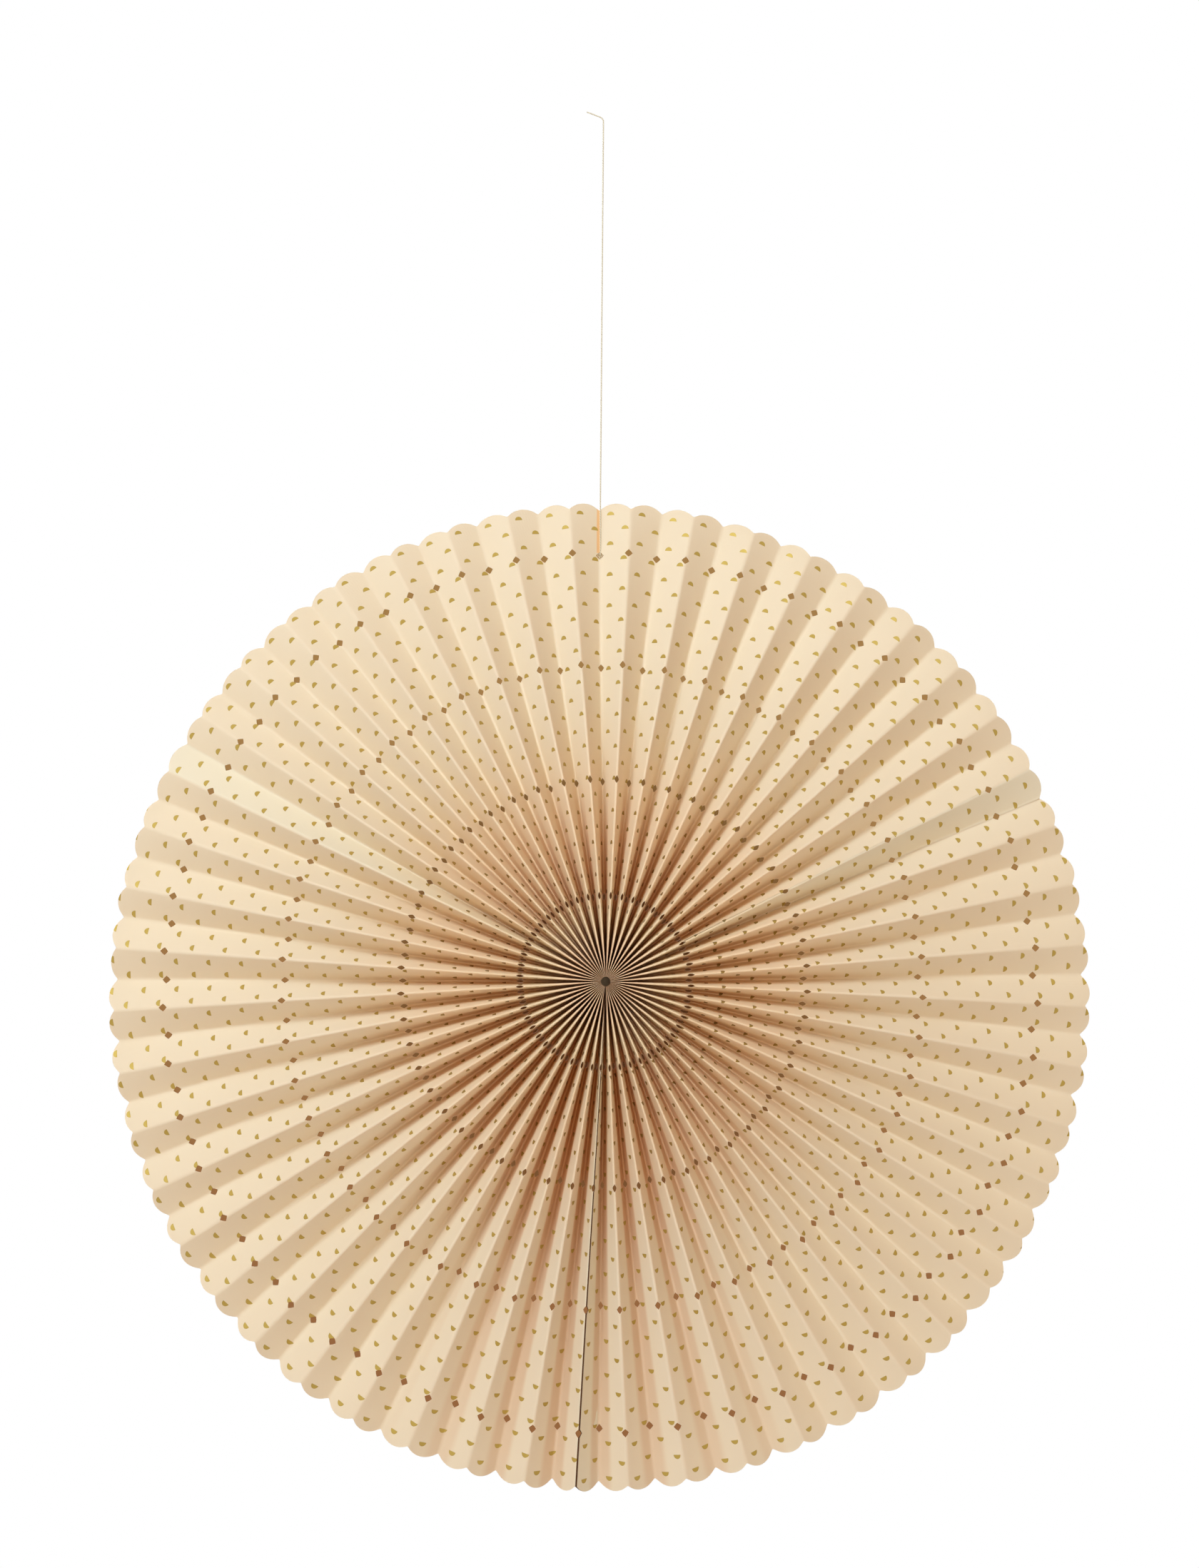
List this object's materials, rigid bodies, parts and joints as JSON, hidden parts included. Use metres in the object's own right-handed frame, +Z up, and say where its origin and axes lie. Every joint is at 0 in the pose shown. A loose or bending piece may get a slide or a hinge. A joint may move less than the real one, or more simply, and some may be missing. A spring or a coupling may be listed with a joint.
{
  "type": "paper fan rosette",
  "caption": "Round accordion-pleated paper rosette with punched diamond holes and a scalloped rim, hung on a thread.",
  "frame": {"origin": "on the hub's axis, halfway through the depth of the pleats", "axes": "+Z up towards the hanging point, -Y out of the printed front, +X to the right seen from the front"},
  "size_m": [0.4497, 0.0159, 0.6433],
  "materials": {
    "printed_paper": "matte warm cream, printed with small gold foil half circles",
    "plain_paper": "matte warm cream, unprinted",
    "adhesive": "translucent double-sided film",
    "thread": "twisted, dull gold beige"
  },
  "bodies": {
    "root": {"pleated_strip_right": "printed_paper", "pleated_strip_top": "printed_paper", "pleated_strip_left": "printed_paper", "lap_adhesive_right": "adhesive", "lap_adhesive_top": "adhesive", "lap_adhesive_left": "adhesive", "hub_patch": "plain_paper", "hanging_thread": "thread", "stopper_knot": "thread"}
  },
  "joints": []
}
